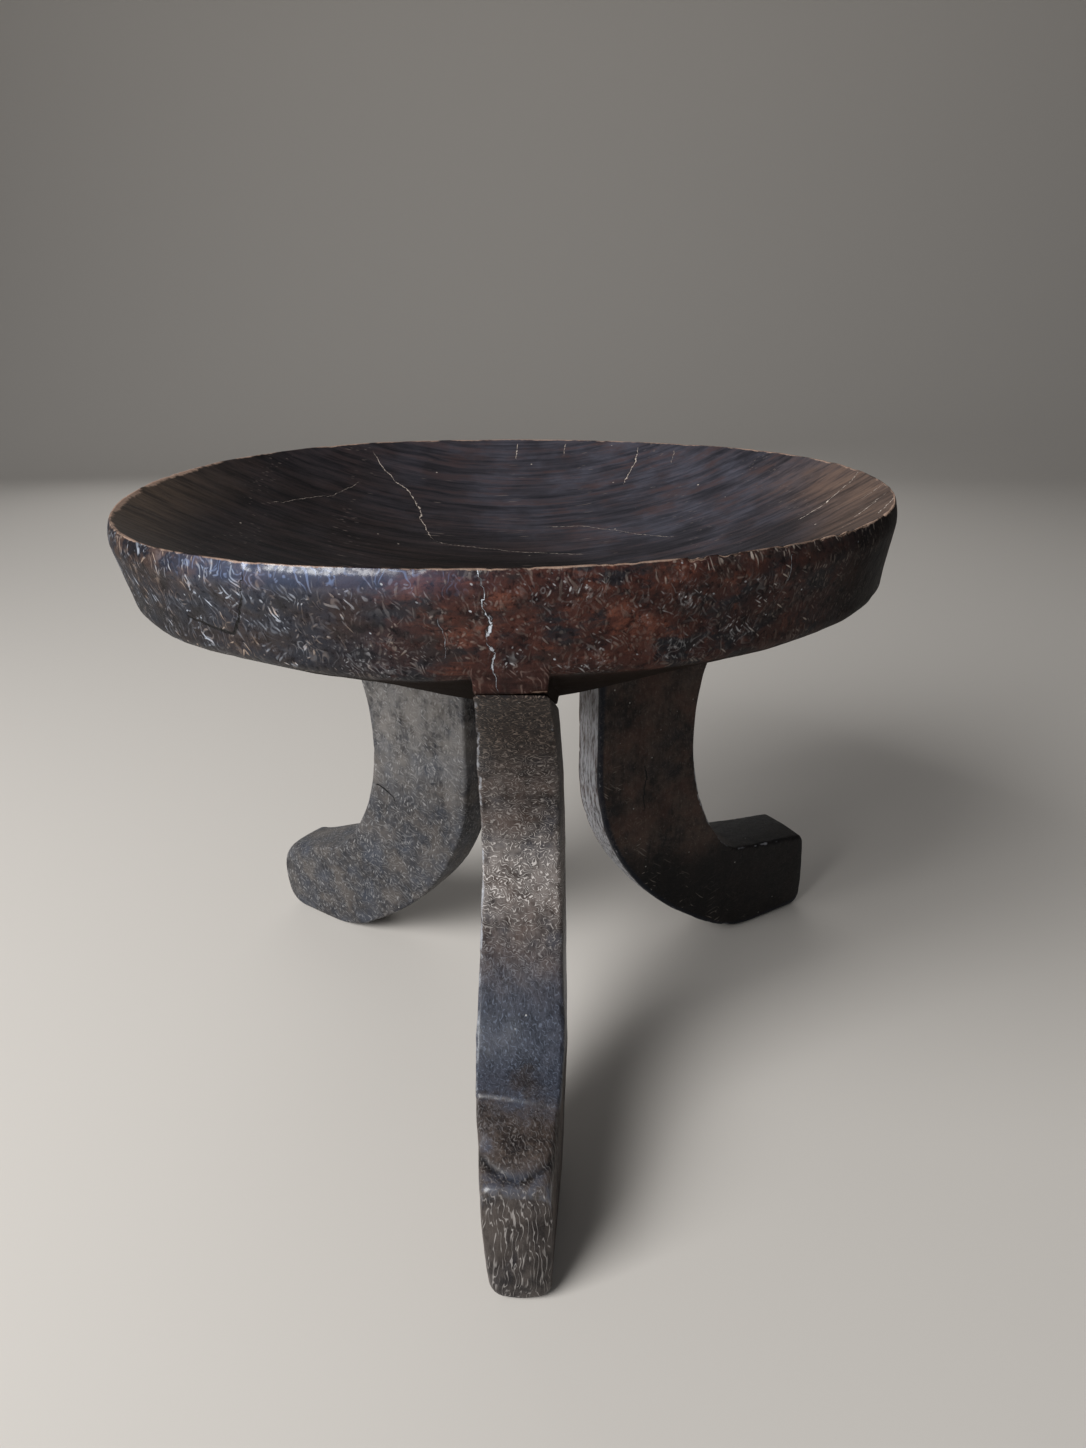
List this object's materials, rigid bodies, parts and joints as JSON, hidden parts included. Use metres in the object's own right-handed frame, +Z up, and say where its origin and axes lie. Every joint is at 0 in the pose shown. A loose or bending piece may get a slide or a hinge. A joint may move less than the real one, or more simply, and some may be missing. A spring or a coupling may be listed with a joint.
{
  "type": "stool",
  "caption": "Low carved wooden stool with a round dished seat on plank-like legs that sweep outwards into blunt toes.",
  "frame": {"origin": "on the floor, under the middle of the stool's bounding box", "axes": "+Z up; -Y towards the front leg; +X towards the rear right leg's side"},
  "size_m": [0.3978, 0.4046, 0.3228],
  "materials": {
    "seat_wood": "dark waxed patina, worn red-brown at the front",
    "front_leg_wood": "dry grey-brown patina with fine scratches",
    "rear_right_leg_wood": "dark brown patina with worn edges",
    "rear_left_leg_wood": "dry grey patina with fine scratches"
  },
  "bodies": {
    "root": {"seat": "seat_wood", "leg_front": "front_leg_wood", "leg_rear_right": "rear_right_leg_wood", "leg_rear_left": "rear_left_leg_wood"}
  },
  "joints": []
}
